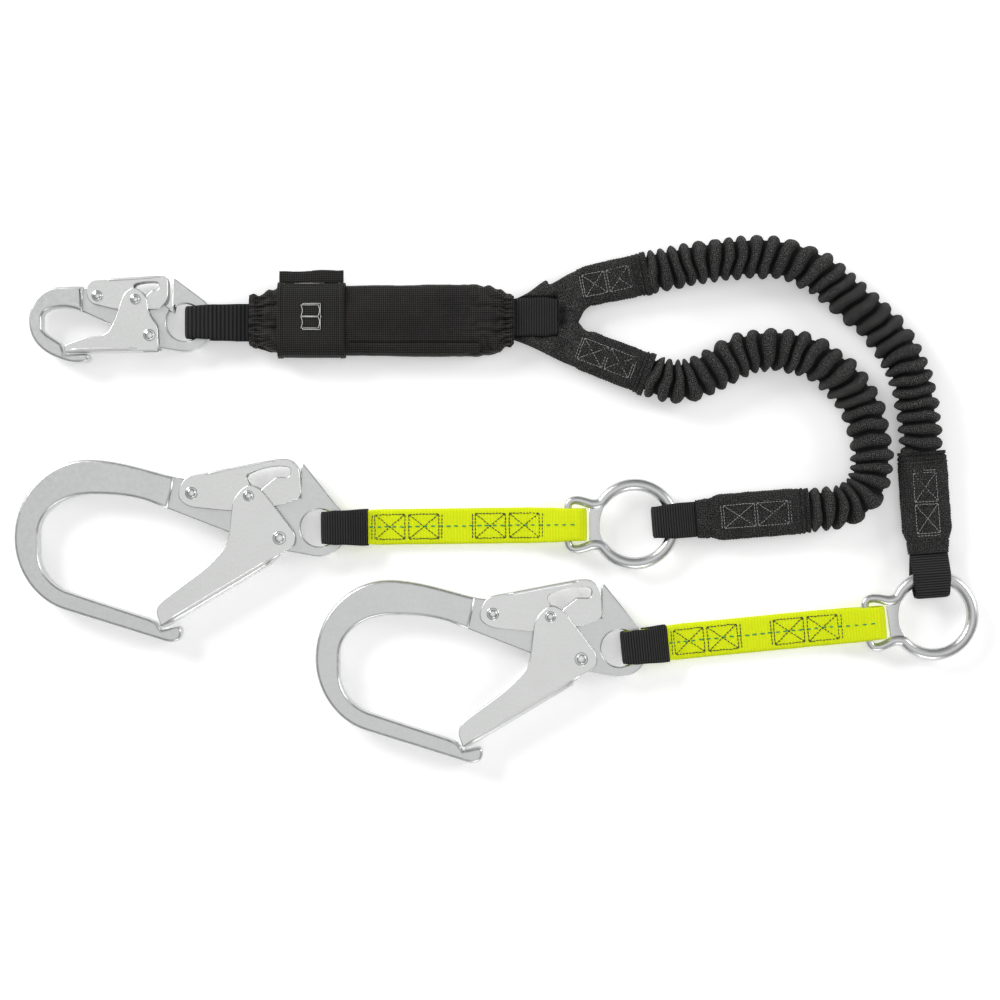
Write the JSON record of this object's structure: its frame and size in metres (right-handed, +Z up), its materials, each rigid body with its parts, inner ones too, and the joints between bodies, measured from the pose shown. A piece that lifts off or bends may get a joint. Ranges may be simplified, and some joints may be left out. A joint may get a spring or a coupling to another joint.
{
  "type": "shock absorbing lanyard",
  "caption": "Twin-leg fall-arrest lanyard with an energy absorber pack, elastic legs, tie-back rings, hi-vis straps, a snap hook and large rebar hooks.",
  "frame": {"origin": "middle of the footprint of everything but the two elastic tubes, on the surface the lanyard lies on", "axes": "+X to the right along the laid out lanyard, +Y up the page towards the pack, +Z up from the surface"},
  "size_m": [0.722, 0.3951, 0.0207],
  "materials": {
    "zinc_steel": "zinc-plated stamped steel",
    "bright_rivet": "polished domed heads",
    "spring_steel": "drawn wire",
    "ring_alloy": "satin",
    "black_webbing": "ribbed woven webbing",
    "cover_cloth": "plain woven pack cloth",
    "label_cloth": "coated wrap cloth",
    "white_print": "printed white",
    "elastic_knit": "speckled charcoal knit",
    "hi_vis_webbing": "fluorescent woven webbing"
  },
  "bodies": {
    "lanyard": {"pack_cover": "cover_cloth", "tear_webbing": "black_webbing", "label_wrap": "label_cloth", "book_pictogram": "white_print", "front_loop": "black_webbing", "rear_loop": "black_webbing", "leg_yoke": "elastic_knit", "near_sleeve_a": "elastic_knit", "elastic_tube_a": "elastic_knit", "inner_strap_a": "black_webbing", "far_sleeve_a": "elastic_knit", "end_loop_a": "black_webbing", "near_sleeve_b": "elastic_knit", "elastic_tube_b": "elastic_knit", "inner_strap_b": "black_webbing", "far_sleeve_b": "elastic_knit", "end_loop_b": "black_webbing"},
    "label_flap": {"label_flap": "label_cloth"},
    "snap": {"snap_body": "zinc_steel", "snap_gate_rivet": "bright_rivet", "snap_lever_rivet": "bright_rivet", "snap_gate_spring": "spring_steel", "snap_lever_spring": "spring_steel"},
    "snap_gate": {"snap_gate": "zinc_steel", "snap_lock_pin": "bright_rivet"},
    "snap_lever": {"snap_lever": "zinc_steel"},
    "ring_a": {"ring_a": "ring_alloy"},
    "strap_a": {"strap_a": "hi_vis_webbing", "wear_sleeve_a": "black_webbing"},
    "hook_a": {"hook_a_body": "zinc_steel", "hook_a_gate_rivet": "bright_rivet", "hook_a_lever_rivet": "bright_rivet", "hook_a_gate_spring": "spring_steel", "hook_a_lever_spring": "spring_steel"},
    "hook_a_gate": {"hook_a_gate": "zinc_steel", "hook_a_lock_pin": "bright_rivet"},
    "hook_a_lever": {"hook_a_lever": "zinc_steel"},
    "ring_b": {"ring_b": "ring_alloy"},
    "strap_b": {"strap_b": "hi_vis_webbing", "wear_sleeve_b": "black_webbing"},
    "hook_b": {"hook_b_body": "zinc_steel", "hook_b_gate_rivet": "bright_rivet", "hook_b_lever_rivet": "bright_rivet", "hook_b_gate_spring": "spring_steel", "hook_b_lever_spring": "spring_steel"},
    "hook_b_gate": {"hook_b_gate": "zinc_steel", "hook_b_lock_pin": "bright_rivet"},
    "hook_b_lever": {"hook_b_lever": "zinc_steel"}
  },
  "joints": [
    {"name": "label_flap_open", "type": "hinge", "parent": "lanyard", "child": "label_flap", "pos_m": [-0.13874, 0.16435, 0.01465], "axis": [1, 0, 0], "range_deg": [0, 80]},
    {"name": "snap_swing", "type": "hinge", "parent": "lanyard", "child": "snap", "pos_m": [-0.21574, 0.1349, 0.0099], "axis": [0, 1, 0], "range_deg": [0, 10]},
    {"name": "snap_gate_open", "type": "hinge", "parent": "snap", "child": "snap_gate", "pos_m": [-0.25914, 0.1249, 0.0099], "axis": [0, 0, -1], "range_deg": [0, 20], "stiffness_Nm_per_rad": 0.15, "springref_deg": -11.46},
    {"name": "snap_lever_press", "type": "hinge", "parent": "snap", "child": "snap_lever", "pos_m": [-0.29854, 0.1544, 0.0099], "axis": [0, 0, -1], "range_deg": [0, 10]},
    {"name": "ring_a_turn", "type": "hinge", "parent": "lanyard", "child": "ring_a", "pos_m": [0.10326, -0.0161, 0.0099], "axis": [0, 0, 1], "range_deg": [0, 7]},
    {"name": "strap_a_swing", "type": "hinge", "parent": "ring_a", "child": "strap_a", "pos_m": [0.05426, -0.0167, 0.0099], "axis": [-0.0122, 0.9999, 0], "range_deg": [0, 35]},
    {"name": "hook_a_swing", "type": "hinge", "parent": "strap_a", "child": "hook_a", "pos_m": [-0.11547, -0.01877, 0.0099], "axis": [-0.0122, 0.9999, 0], "range_deg": [0, 10]},
    {"name": "hook_a_gate_open", "type": "hinge", "parent": "hook_a", "child": "hook_a_gate", "pos_m": [-0.16222, -0.02649, 0.0099], "axis": [0, 0, -1], "range_deg": [0, 38], "stiffness_Nm_per_rad": 0.25, "springref_deg": -11.46},
    {"name": "hook_a_lever_press", "type": "hinge", "parent": "hook_a", "child": "hook_a_lever", "pos_m": [-0.22822, 0.00701, 0.0099], "axis": [0, 0, -1], "range_deg": [0, 10]},
    {"name": "ring_b_turn", "type": "hinge", "parent": "lanyard", "child": "ring_b", "pos_m": [0.32706, -0.0844, 0.0099], "axis": [0, 0, 1], "range_deg": [0, 10]},
    {"name": "strap_b_swing", "type": "hinge", "parent": "ring_b", "child": "strap_b", "pos_m": [0.27849, -0.09088, 0.0099], "axis": [-0.0976, 0.9952, 0], "range_deg": [0, 35]},
    {"name": "hook_b_swing", "type": "hinge", "parent": "strap_b", "child": "hook_b", "pos_m": [0.10955, -0.10745, 0.0099], "axis": [-0.0976, 0.9952, 0], "range_deg": [0, 10]},
    {"name": "hook_b_gate_open", "type": "hinge", "parent": "hook_b", "child": "hook_b_gate", "pos_m": [0.06288, -0.11668, 0.0099], "axis": [0, 0, -1], "range_deg": [0, 38], "stiffness_Nm_per_rad": 0.25, "springref_deg": -11.46},
    {"name": "hook_b_lever_press", "type": "hinge", "parent": "hook_b", "child": "hook_b_lever", "pos_m": [-0.00312, -0.08318, 0.0099], "axis": [0, 0, -1], "range_deg": [0, 10]}
  ],
  "couplings": [
    {"joint": "snap_lever_press", "follows": "snap_gate_open", "ratio": 0.5},
    {"joint": "hook_a_lever_press", "follows": "hook_a_gate_open", "ratio": 0.26316},
    {"joint": "hook_b_lever_press", "follows": "hook_b_gate_open", "ratio": 0.26316}
  ]
}
